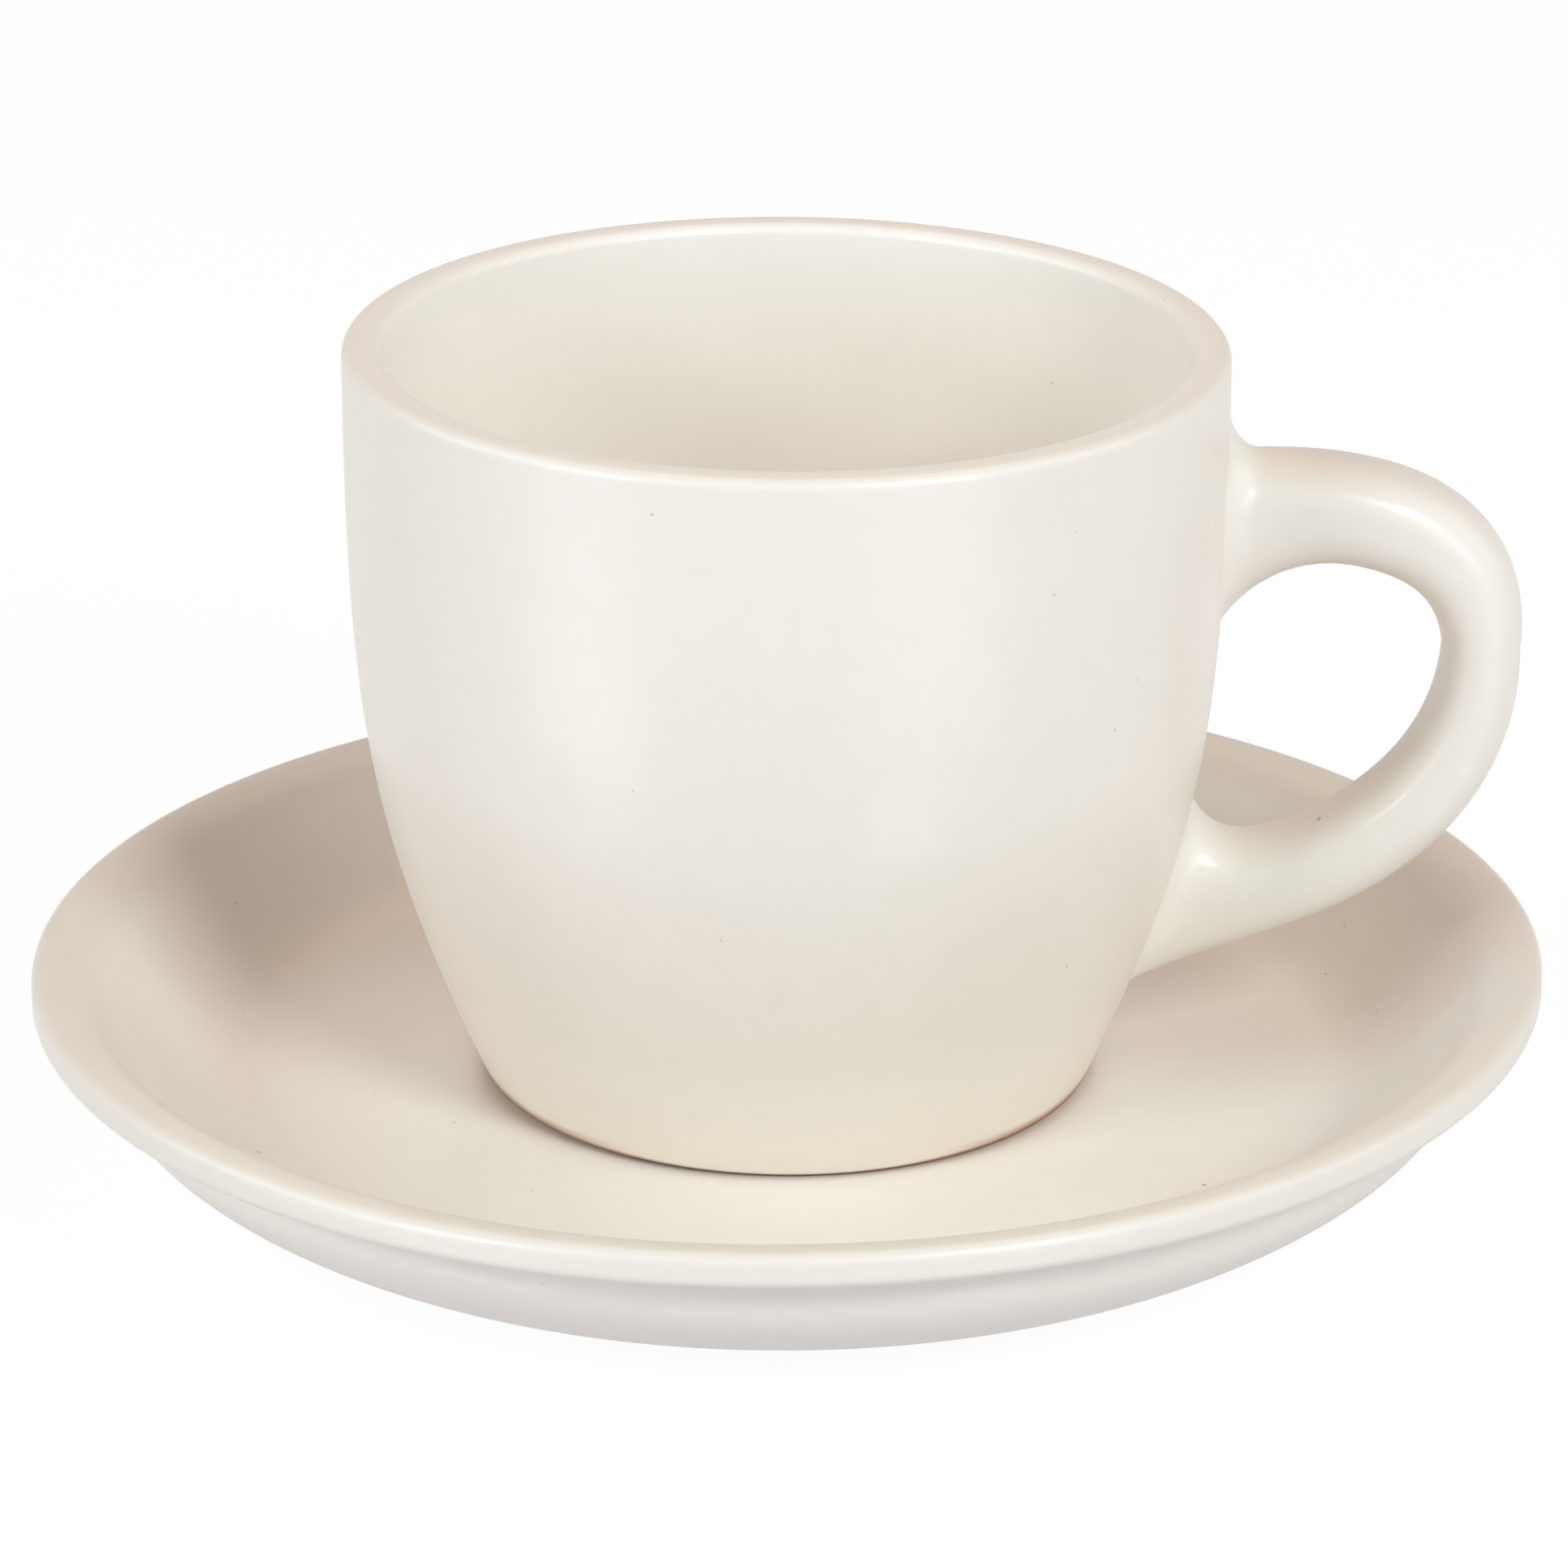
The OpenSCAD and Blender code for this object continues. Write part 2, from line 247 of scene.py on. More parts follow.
def saucer_section(size):
    """The saucer's section from the axis under its floor, round the lip, and back to the axis on top."""
    lip_mid = size.across / 2 - size.lip_round
    foot_r = size.foot_across / 2
    wall_foot = np.array([foot_r + FOOT_COVE, size.foot_height])
    wall_top = np.array([size.across / 2 - size.overhang, size.height - size.wall_drop])
    lip_under = np.array([lip_mid, size.height - size.lip])
    roll_mid = np.array([lip_mid, size.height - size.lip_roll])
    neck = roll_mid + size.lip_roll * along(math.pi / 2 + size.wall_slope)
    wall_end = np.array([neck[0] - (neck[1] - SEAT) / math.tan(size.wall_slope), SEAT])
    flat_end = np.array([DISH_FLAT * wall_end[0], SEAT])
    belly = wall_top - wall_foot
    cove = lip_under - wall_top
    slope = math.degrees(size.wall_slope)
    return chain(
        foot_ring(foot_r - size.foot_width, foot_r, SEAT - size.floor_thickness),
        bow([foot_r - FOOT_ROUND, FOOT_ROUND], FOOT_ROUND, FOOT_ROUND, 270, 360, ROUND_STEPS),
        cubic(
            [foot_r, FOOT_ROUND],
            [foot_r, size.foot_height],
            wall_foot - FOOT_COVE_PULL * FOOT_COVE * along(size.belly_slope),
            wall_foot,
            count=8,
        ),
        cubic(
            wall_foot,
            wall_foot + BELLY_LOW_PULL * belly[0] * along(size.belly_slope),
            wall_top - [0.0, BELLY_HIGH_PULL * belly[1]],
            wall_top,
            count=40,
        ),
        cubic(
            wall_top,
            wall_top + [0.0, LIP_COVE_PULL * cove[1]],
            lip_under - [LIP_COVE_PULL * cove[0], 0.0],
            lip_under,
            count=14,
        ),
        bow(lip_under + [0.0, size.lip_round], size.lip_round, size.lip_round, -90, 0, count=9),
        bow([lip_mid, size.height - size.lip_round], size.lip_round, size.lip_round, 0, 90, count=9),
        bow(roll_mid, size.lip_roll, size.lip_roll, 90, 90 + slope, count=24),
        cubic(
            neck,
            neck + DISH_PULL * (wall_end - neck),
            flat_end + DISH_PULL * (wall_end - flat_end),
            flat_end,
            count=40,
        ),
        np.linspace(flat_end, [0.0, SEAT], num=24),
    )


# Shares by which the cup's curves keep the directions at their ends, and how many points its wall has
WALL_LOW_PULL = 0.404
WALL_HIGH_PULL = 0.465
TURN_PULL = 0.6
CORNER_PULL = 0.6
WALL_STEPS = 91

# Share of the wall below which the inside rounds into the floor, and flat share of the floor inside
CORNER_SHARE = 0.22
FLOOR_FLAT = 0.66

# Degrees by which each edge of the lip stops short of level, which leaves its top nearly flat
LIP_SHORT = 6


def cup_wall(size):
    """Places and unit ways along the outside of the cup's wall, from its foot to where the lip starts."""
    foot = np.array([size.base_across / 2, size.turn_height])
    top = np.array([size.across / 2, size.height - size.lip_height])
    reach = top[1] - foot[1]
    lean = along(math.pi / 2 - size.base_lean)
    low = foot + WALL_LOW_PULL * reach * lean
    high = top - [0.0, WALL_HIGH_PULL * reach]
    return run_of(foot, low, high, top, np.linspace(0.0, 1.0, WALL_STEPS))


def cup_turn(size):
    """From the edge of the cup's foot up to its wall."""
    edge = np.array([size.foot_across / 2, 0.0])
    foot = np.array([size.base_across / 2, size.turn_height])
    reach = foot - edge
    lean = along(math.pi / 2 - size.base_lean)
    return cubic(edge, edge + [TURN_PULL * reach[0], 0.0], foot - TURN_PULL * reach[1] * lean, foot, count=9)


def cup_section(size):
    """The cup's section from the axis under its foot, over the lip, and back to the axis on its floor."""
    wall, way = cup_wall(size)
    edge = size.lip_edge
    outer_edge = [size.across / 2 - edge, size.height - edge]
    inner_edge = [size.across / 2 - size.lip + edge, size.height - edge]
    start = round(CORNER_SHARE * (len(wall) - 1))
    rise = np.linspace(0.0, 1.0, len(wall) - start)[:, None]
    thickness = size.wall + (size.lip - size.wall) * rise
    inside = wall[start:] + thickness * np.column_stack([-way[start:, 1], way[start:, 0]])
    depth = inside[0][1] - size.floor
    flat_end = np.array([FLOOR_FLAT * inside[0][0], size.floor])
    corner = cubic(
        inside[0],
        inside[0] - CORNER_PULL * depth * way[start],
        flat_end + [CORNER_PULL * (inside[0][0] - flat_end[0]), 0.0],
        flat_end,
        count=30,
    )
    foot_r = size.foot_across / 2
    return chain(
        foot_ring(foot_r - size.foot_width, foot_r, size.foot_hollow),
        cup_turn(size),
        wall,
        bow(outer_edge, edge, edge, 0, 90 - LIP_SHORT, count=11),
        bow(inner_edge, edge, edge, 90 + LIP_SHORT, 180, count=11),
        inside[::-1],
        corner,
        np.linspace(flat_end, [0.0, size.floor], num=14),
    ) + [0.0, SEAT]


# Meshes


def put_mesh(name, points, faces, body, node, slot, material, **values):
    """A smooth mesh object at the origin that rides on a body and stands for a CAD node.

    Each of the values is an array over the points, kept as an attribute for the material."""
    mesh = bpy.data.meshes.new(name)
    mesh.from_pydata(points.tolist(), [], faces)
    mesh.polygons.foreach_set("use_smooth", np.ones(len(mesh.polygons), bool))
    for key, value in values.items():
        attribute = mesh.attributes.new(key, "FLOAT", "POINT")
        attribute.data.foreach_set("value", value.astype(np.float32))
    mesh.materials.append(material)
    mesh.update()
    piece = bpy.data.objects.new(name, mesh)
    bpy.context.scene.collection.objects.link(piece)
    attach(piece, body)
    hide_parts(node)


def grid_faces(rows, columns, first):
    """Quads of a grid whose columns close on themselves, its points numbered from first, row after row."""
    row, column = np.meshgrid(np.arange(rows - 1), np.arange(columns), indexing="ij")
    a = first + row * columns + column
    b = first + row * columns + (column + 1) % columns
    return np.stack([a, b, b + columns, a + columns], axis=-1).reshape(-1, 4).tolist()


def fan_faces(ring_start, columns, pole, outward):
    """Triangles from a closed ring of points to one pole."""
    here = ring_start + np.arange(columns)
    there = ring_start + (np.arange(columns) + 1) % columns
    pair = (here, there) if outward else (there, here)
    return np.column_stack([*pair, np.full(columns, pole)]).tolist()


def turned(section, sides):
    """A section turned round the axis: a point [r, z] at the angle q is (r cos q, r sin q, z).

    The two ends of the section lie on the axis and become one pole each."""
    angle = 2 * math.pi * np.arange(sides) / sides
    ring = section[1:-1]
    r = ring[:, :1]
    z = np.broadcast_to(ring[:, 1:], (len(ring), sides))
    grid = np.stack([r * np.cos(angle), r * np.sin(angle), z], axis=-1)
    poles = np.array([[0.0, 0.0, section[0][1]], [0.0, 0.0, section[-1][1]]])
    points = np.concatenate([poles, grid.reshape(-1, 3)])
    last = 2 + (len(ring) - 1) * sides
    faces = grid_faces(len(ring), sides, 2)
    faces += fan_faces(2, sides, 0, False) + fan_faces(last, sides, 1, True)
    return points, faces


# Waves round the turned pieces: how many to a turn, their part of the depth, and their starting angle
WAVES = ((2, 0.6, 0.7), (3, 0.4, 2.1))

# Depth of the waves in the saucer's lip, and in the cup's rim as a share of its radius
SAUCER_WAVES = 0.06 * MM
CUP_WAVES = 0.0012

# Slope by which the saucer's wall leans up towards the right
SAUCER_LEAN = 0.008


def slow_waves(points, depth):
    """Slight waves round a turned piece, as hand finishing leaves them, each a cosine of the angle."""
    angle = np.arctan2(points[:, 1], points[:, 0])
    return depth * sum(part * np.cos(number * angle + start) for number, part, start in WAVES)


# Slope at which the foot of the cup stands on the saucer
CUP_LEAN = 0.0065


def lean_right(points, cup):
    """Stands a piece of the cup on the right edge of its foot, the left edge a little off the saucer."""
    points[:, 2] += CUP_LEAN * (cup.foot_across / 2 - points[:, 0])


def spread(values, sides):
    """Values along a section, given to every point of the section when it is turned."""
    return np.concatenate([[values[0], values[-1]], np.repeat(values[1:-1], sides)])


def past_lip(section, before, run):
    """How far a section is over its lip: 0 until a way before its highest point, then 1 after a run."""
    step = np.linalg.norm(np.diff(section, axis=0, prepend=section[:1]), axis=1)
    far = np.cumsum(step)
    return np.clip((far - far[np.argmax(section[:, 1])] + before) / run, 0.0, 1.0)


# Handle


def fade(place, root, run, power):
    """A flare that is whole at a joint and fades out over a run from it."""
    far = np.linalg.norm(place - root, axis=1)
    return np.maximum(0.0, 1 - far / run) ** power


def fillet(place, root, run):
    """A hollow quarter round, whole at a joint, where it lies along the wall, and fading out over a run."""
    near = fade(place, root, run, 1)
    return 1 - np.sqrt(np.maximum(0.0, 1 - near**2))


# Middle line of the handle: the crown's height between the joints, the slopes at the joints, and the shares
# by which the two curves keep the directions at their ends
CROWN_SHARE = 0.656
UPPER_SLOPE = math.radians(3.7)
LOWER_SLOPE = math.radians(7.0)
UPPER_JOINT_PULL = 0.56
UPPER_CROWN_PULL = 0.872
LOWER_CROWN_PULL = 0.504
LOWER_JOINT_PULL = 0.66

# Rows in each half of the handle, and the power by which they crowd towards its joint
HALF_ROWS = 60
CROWDING = 1.5

# Powers by which the handle thickens towards its joints, and by which the flares fade out
UPPER_SWELL = 2.86
LOWER_SWELL = 1.8
FLARE_FADE = 3


def handle_rows(cup, size):
    """Rows of the handle from the upper to the lower joint: place, way, and half sizes out, in and sideways.

    The middle line is two cubics that meet upright at the crown."""
    wall, _ = cup_wall(cup)
    upper_h = cup.height - size.drop
    upper_root = np.array([np.interp(upper_h, wall[:, 1], wall[:, 0]), upper_h])
    lower_root = np.array([np.interp(size.low_height, wall[:, 1], wall[:, 0]), size.low_height])
    crown = np.array([
        cup.across / 2 + size.span - size.grip / 2,
        size.low_height + CROWN_SHARE * (upper_h - size.low_height),
    ])
    t = np.linspace(0.0, 1.0, HALF_ROWS)
    upper_t = t**CROWDING
    lower_t = 1 - (1 - t) ** CROWDING
    upper_place, upper_dir = run_of(
        upper_root,
        upper_root + UPPER_JOINT_PULL * (crown[0] - upper_root[0]) * along(UPPER_SLOPE),
        crown + [0.0, UPPER_CROWN_PULL * (upper_root[1] - crown[1])],
        crown,
        upper_t,
    )
    lower_place, lower_dir = run_of(
        crown,
        crown - [0.0, LOWER_CROWN_PULL * (crown[1] - lower_root[1])],
        lower_root + LOWER_JOINT_PULL * (crown[0] - lower_root[0]) * along(LOWER_SLOPE),
        lower_root,
        lower_t,
    )
    upper_half = (size.upper + (size.grip - size.upper) * upper_t**UPPER_SWELL) / 2
    lower_half = (size.lower + (size.grip - size.lower) * (1 - lower_t) ** LOWER_SWELL) / 2
    upper_flare = fade(upper_place, upper_root, size.upper_run, FLARE_FADE)
    lower_flare = fade(lower_place, lower_root, size.lower_run, FLARE_FADE)
    upper_collar = fillet(upper_place, upper_root, size.collar_run)
    lower_collar = fillet(lower_place, lower_root, size.collar_run)
    half_w = size.width / 2
    halves = (
        (upper_place, lower_place),
        (upper_dir, lower_dir),
        (upper_half + size.collar * upper_collar, lower_half + size.lower_heel * lower_flare),
        (upper_half + size.upper_flare * upper_flare, lower_half + size.lower_flare * lower_flare),
        (half_w + size.collar_spread * upper_collar, half_w + size.collar_spread * lower_collar),
    )
    return tuple(np.concatenate([upper, lower[1:]]) for upper, lower in halves)


# Tries in which an end of the handle slides to the wall, and the power by which the slide fades out
SLIDE_TRIES = 20
SLIDE_FADE = 2

# How far the ends of the handle sink into the wall, and how much farther in they are closed
JOINT_SINK = 0.07 * MM
JOINT_END = 1.2 * MM


def drawn_to_wall(points, place, wall, into, reach):
    """Rings of a handle moved along one way so that the first ring lies a little inside the wall of the cup.

    Each point of the first ring slides until its distance from the axis is the wall's radius at its height.
    The rings after it follow by a share that fades out over the reach."""
    slide = np.zeros(points.shape[1])
    for _ in range(SLIDE_TRIES):
        at = points[0] + slide[:, None] * into
        off = np.hypot(at[:, 0], at[:, 1]) - np.interp(at[:, 2], wall[:, 1], wall[:, 0])
        slide = slide + off
    follow = fade(place, place[0], reach, SLIDE_FADE)
    return points + (follow[:, None] * (slide + JOINT_SINK))[:, :, None] * into


# Power that makes the handle's oval a little squarer than an ellipse, and the points round it
SQUARENESS = 2 / 2.3
HANDLE_SIDES = 96


def handle_mesh(cup, size, sides):
    """The handle: an oval of changing size carried along its path, its ends drawn to the wall and closed.

    A point of the oval at the angle q is cos q and sin q, each raised to a power and times a half size."""
    place, way, out, inner, side = handle_rows(cup, size)
    outwards = np.column_stack([-way[:, 1], way[:, 0]])
    angle = 2 * math.pi * np.arange(sides) / sides
    across = np.sign(np.cos(angle)) * np.abs(np.cos(angle)) ** SQUARENESS
    aside = np.sign(np.sin(angle)) * np.abs(np.sin(angle)) ** SQUARENESS
    reach = np.where(across > 0, out[:, None], inner[:, None]) * across
    flat = place[:, None, :] + reach[:, :, None] * outwards[:, None, :]
    points = np.stack([flat[:, :, 0], side[:, None] * aside, flat[:, :, 1]], axis=-1)
    wall = chain(cup_turn(cup), cup_wall(cup)[0])
    upper_into = np.array([-way[0][0], 0.0, -way[0][1]])
    lower_into = np.array([way[-1][0], 0.0, way[-1][1]])
    points = drawn_to_wall(points, place, wall, upper_into, size.upper_run)
    points = drawn_to_wall(points[::-1], place[::-1], wall, lower_into, size.lower_run)[::-1]
    upper_end = points[:1] + JOINT_END * upper_into
    lower_end = points[-1:] + JOINT_END * lower_into
    points = np.concatenate([upper_end, points, lower_end])
    rows = len(points)
    poles = np.stack([points[0].mean(axis=0), points[-1].mean(axis=0)])
    faces = grid_faces(rows, sides, 2)
    faces += fan_faces(2, sides, 0, False) + fan_faces(2 + (rows - 1) * sides, sides, 1, True)
    return np.concatenate([poles, points.reshape(-1, 3)]) + [0.0, 0.0, SEAT], faces


# Glaze


def link(tree, source, target):
    """A line from an output to an input."""
    tree.links.new(source, target)


def noise(tree, coordinates, scale, detail):
    """A cloud pattern on the object's coordinates."""
    node = tree.nodes.new("ShaderNodeTexNoise")
    node.inputs["Scale"].default_value = scale
    node.inputs["Detail"].default_value = detail
    link(tree, coordinates, node.inputs["Vector"])
    return node.outputs["Fac"]


def ramp(tree, value, low, high, low_to, high_to):
    """A value taken from one range to another, smoothly and without leaving it."""
    node = tree.nodes.new("ShaderNodeMapRange")
    node.interpolation_type = "SMOOTHSTEP"
    for key, number in zip(("From Min", "From Max", "To Min", "To Max"), (low, high, low_to, high_to)):
        node.inputs[key].default_value = number
    link(tree, value, node.inputs["Value"])
    return node.outputs["Result"]


def math_node(tree, operation, first, second):
    """Two values, or a value and a number, put together."""
    node = tree.nodes.new("ShaderNodeMath")
    node.operation = operation
    for slot, value in zip(node.inputs, (first, second)):
        if isinstance(value, (int, float)):
            slot.default_value = value
        else:
            link(tree, value, slot)
    return node.outputs["Value"]


def mix(tree, factor, first, second):
    """A colour between two colours."""
    node = tree.nodes.new("ShaderNodeMix")
    node.data_type = "RGBA"
    link(tree, factor, node.inputs["Factor"])
    link(tree, first, node.inputs["A"])
    link(tree, second, node.inputs["B"])
    return node.outputs["Result"]


def specks(tree, coordinates, scale, shown, size):
    """Small round spots: one in each cell of the given share of cells, each with its own size."""
    cells = tree.nodes.new("ShaderNodeTexVoronoi")
    cells.inputs["Scale"].default_value = scale
    link(tree, coordinates, cells.inputs["Vector"])
    parts = tree.nodes.new("ShaderNodeSeparateColor")
    link(tree, cells.outputs["Color"], parts.inputs["Color"])
    chosen = math_node(tree, "LESS_THAN", parts.outputs["Red"], shown)
    reach = math_node(tree, "MULTIPLY", parts.outputs["Green"], size)
    nearness = math_node(tree, "DIVIDE", cells.outputs["Distance"], reach)
    spot = ramp(tree, nearness, low=0.6, high=1.0, low_to=1.0, high_to=0.0)
    return math_node(tree, "MULTIPLY", spot, chosen)


# How much the glaze varies in thickness and roughness, how strongly its specks show, how deep they lie in
# the bump, how much rougher it is where the clay colour goes, and how strongly the glaze bends light
UNEVEN = 0.02
FINE_SPECKS = 0.35
LARGE_SPECKS = 0.55
PIT_DEPTH = 0.5
CLAY_ROUGHER = 0.4
GLAZE_IOR = 1.5


def glaze_group():
    """The node group of the glaze: its colour, roughness and height from the object's coordinates.

    Inputs are the colours, the glaze's roughness, how thick it lies, which also carries painted light and
    shade, and where the clay colour goes: on the unglazed foot and as painted contact shade."""
    tree = bpy.data.node_groups.new("Satin glaze", "ShaderNodeTree")
    face = tree.interface
    for name in ("Thin", "Thick", "Speck", "Clay"):
        face.new_socket(name, in_out="INPUT", socket_type="NodeSocketColor")
    for name in ("Roughness", "Depth", "Bare"):
        face.new_socket(name, in_out="INPUT", socket_type="NodeSocketFloat")
    face.new_socket("Color", in_out="OUTPUT", socket_type="NodeSocketColor")
    for name in ("Roughness", "Height"):
        face.new_socket(name, in_out="OUTPUT", socket_type="NodeSocketFloat")
    given = tree.nodes.new("NodeGroupInput").outputs
    made = tree.nodes.new("NodeGroupOutput").inputs
    place = tree.nodes.new("ShaderNodeTexCoord").outputs["Object"]

    clouds = noise(tree, place, scale=55.0, detail=3.0)
    mottle = noise(tree, place, scale=420.0, detail=1.0)
    drift = ramp(tree, clouds, low=0.35, high=0.65, low_to=-UNEVEN, high_to=UNEVEN)
    grain = ramp(tree, mottle, low=0.3, high=0.7, low_to=-UNEVEN, high_to=UNEVEN)
    depth = math_node(tree, "ADD", math_node(tree, "ADD", given["Depth"], drift), grain)
    fine = specks(tree, place, scale=620.0, shown=0.10, size=0.11)
    large = specks(tree, place, scale=170.0, shown=0.4, size=0.055)
    fine = math_node(tree, "MULTIPLY", fine, FINE_SPECKS)
    large = math_node(tree, "MULTIPLY", large, LARGE_SPECKS)
    spots = math_node(tree, "MAXIMUM", fine, large)
    body = mix(tree, depth, given["Thin"], given["Thick"])
    body = mix(tree, spots, body, given["Speck"])
    # The clay colour on the unglazed foot, and as painted contact shade up the cup's foot
    link(tree, mix(tree, given["Bare"], body, given["Clay"]), made["Color"])

    sheen = ramp(tree, clouds, low=0.3, high=0.7, low_to=-UNEVEN, high_to=UNEVEN)
    sheen = math_node(tree, "ADD", given["Roughness"], sheen)
    rougher = math_node(tree, "MULTIPLY", given["Bare"], CLAY_ROUGHER)
    link(tree, math_node(tree, "ADD", sheen, rougher), made["Roughness"])

    pits = math_node(tree, "MULTIPLY", spots, PIT_DEPTH)
    link(tree, math_node(tree, "SUBTRACT", mottle, pits), made["Height"])
    return tree


def glaze_material(name, look):
    """A satin glazed clay: the glaze group drives colour, roughness and a fine bump."""
    material = bpy.data.materials.new(name)
    material.use_nodes = True
    tree = material.node_tree
    shader = tree.nodes["Principled BSDF"]
    shader.inputs["IOR"].default_value = GLAZE_IOR
    shader.inputs["Coat Weight"].default_value = look.coat
    shader.inputs["Coat Roughness"].default_value = look.coat_roughness
    group = tree.nodes.new("ShaderNodeGroup")
    group.node_tree = bpy.data.node_groups.get("Satin glaze") or glaze_group()
    for socket in ("Thin", "Thick", "Speck", "Clay"):
        group.inputs[socket].default_value = (*getattr(look, socket.lower()), 1.0)
    group.inputs["Roughness"].default_value = look.roughness
    for socket, key in (("Depth", "glaze_depth"), ("Bare", "bare")):
        attribute = tree.nodes.new("ShaderNodeAttribute")
        attribute.attribute_name = key
        link(tree, attribute.outputs["Fac"], group.inputs[socket])
    bump = tree.nodes.new("ShaderNodeBump")
    bump.inputs["Strength"].default_value = look.bump
    bump.inputs["Distance"].default_value = look.bump_height
    link(tree, group.outputs["Color"], shader.inputs["Base Color"])
    link(tree, group.outputs["Roughness"], shader.inputs["Roughness"])
    link(tree, group.outputs["Height"], bump.inputs["Height"])
    link(tree, bump.outputs["Normal"], shader.inputs["Normal"])
    return material


# Height of the band where the clay colour shows on a foot in front and behind, what is added to it at the
# sides, and how fast it fades. On the ground it is the unglazed foot; above that, up the cup's foot, it is
# painted contact shade, a dark line under the cup that is widest at the sides.
BAND_HEIGHT = 0.25 * MM
CONTACT_SHADE_SIDES = 1.6 * MM
BAND_EDGE = 1.5


def foot_and_contact_shade(points, ground):
    """Where the clay colour shows on a foot: 1 on the ground, then fading out, less fast at the sides; above
    the ground it is painted contact shade.
    """
    sideways = points[:, 0] / np.maximum(np.hypot(points[:, 0], points[:, 1]), MM)
    # Higher at the sides, where the band paints the dark contact line under the cup
    band_top = BAND_HEIGHT + CONTACT_SHADE_SIDES * sideways**2
    return np.clip(BAND_EDGE * (1 - (points[:, 2] - ground) / band_top), 0.0, 1.0)


# Thickness of the glaze, from 0 for thin to 1 for thick
UNDER_DEPTH = 0.34
DISH_DEPTH = 0.79
OUTSIDE_DEPTH = 0.36
# Inside the cup the glaze is set near thick and so lighter: painted light that brightens the inside
INSIDE_DEPTH_AND_LIGHT = 0.98
# The handle is set a little lighter than the cup's outside: painted light standing in for its missing
# highlight
HANDLE_DEPTH_AND_LIGHT = 0.45

# Where the glaze turns thick and lighter: the run past the saucer's lip, the start before the cup's lip, and
# its run. Inside the cup this lighter glaze is painted light.
SAUCER_LIP_RUN = 6 * MM
CUP_LIP_START = 1.2 * MM
CUP_LIP_RUN = 2.4 * MM

# Share of the cup's height over which the outside turns lighter upwards, and how much of its depth is left
# at the foot: painted shade, darker and yellower towards the foot.
SHADE_RUN_SHARE = 0.5
FOOT_SHADE_DEPTH = 0.2


# Operators


class ESPRESSO_OT_saucer(bpy.types.Operator):
    """Make the saucer"""

    bl_idname = "espresso.saucer"
    bl_label = "Saucer"

    def execute(self, context):
        scene = context.scene
        section = saucer_section(scene.espresso_saucer)
        points, faces = turned(section, SIDES)
        lip_r = section[:, 0].max()
        foot_r = scene.espresso_saucer.foot_across / 2
        rise = np.clip((np.hypot(points[:, 0], points[:, 1]) - foot_r) / (lip_r - foot_r), 0.0, 1.0)
        points[:, 2] += rise * (SAUCER_LEAN * points[:, 0] + slow_waves(points, SAUCER_WAVES))
        over_lip = past_lip(section, 0.0, SAUCER_LIP_RUN)
        put_mesh(
            "saucer_glazed", points, faces, "saucer", "saucer", "saucer_glaze",
            glaze_material("saucer_glaze", scene.espresso_glaze),
            glaze_depth=spread(UNDER_DEPTH + (DISH_DEPTH - UNDER_DEPTH) * over_lip, SIDES),
            bare=foot_and_contact_shade(points, 0.0),
        )
        return {"FINISHED"}


class ESPRESSO_OT_cup(bpy.types.Operator):
    """Make the body of the cup"""

    bl_idname = "espresso.cup"
    bl_label = "Cup"

    def execute(self, context):
        scene = context.scene
        section = cup_section(scene.espresso_cup)
        points, faces = turned(section, SIDES)
        rise = (points[:, 2] - SEAT) / scene.espresso_cup.height
        points[:, :2] *= (1 + rise * slow_waves(points, CUP_WAVES))[:, None]
        # Clay colour on the foot, and above it painted contact shade: a dark line under the cup, widest at
        # the sides
        bare = foot_and_contact_shade(points, SEAT)
        lean_right(points, scene.espresso_cup)
        over_lip = past_lip(section, CUP_LIP_START, CUP_LIP_RUN)
        # The outside is painted darker and yellower towards the foot, as shade, and the inside lighter, as
        # painted light
        run_height = SHADE_RUN_SHARE * scene.espresso_cup.height
        lighter_upwards = np.clip((section[:, 1] - SEAT) / run_height, FOOT_SHADE_DEPTH, 1.0)
        lighter_upwards = np.where(over_lip > 0, 1.0, lighter_upwards)
        put_mesh(
            "cup_body_glazed", points, faces, "cup", "cup_body", "cup_glaze",
            glaze_material("cup_glaze", scene.espresso_glaze),
            glaze_depth=spread(OUTSIDE_DEPTH * lighter_upwards + (INSIDE_DEPTH_AND_LIGHT - OUTSIDE_DEPTH) * over_lip, SIDES),
            bare=bare,
        )
        return {"FINISHED"}


class ESPRESSO_OT_handle(bpy.types.Operator):
    """Make the handle, with its ends drawn to the wall of the cup"""

    bl_idname = "espresso.handle"
    bl_label = "Handle"

    def execute(self, context):
        scene = context.scene
        cup = scene.espresso_cup
        points, faces = handle_mesh(cup, scene.espresso_handle, HANDLE_SIDES)
        lean_right(points, cup)
        put_mesh(
            "cup_handle_glazed", points, faces, "cup", "cup_handle", "cup_glaze",
            glaze_material("handle_glaze", scene.espresso_glaze),
            glaze_depth=np.full(len(points), HANDLE_DEPTH_AND_LIGHT),
            bare=np.zeros(len(points)),
        )
        return {"FINISHED"}


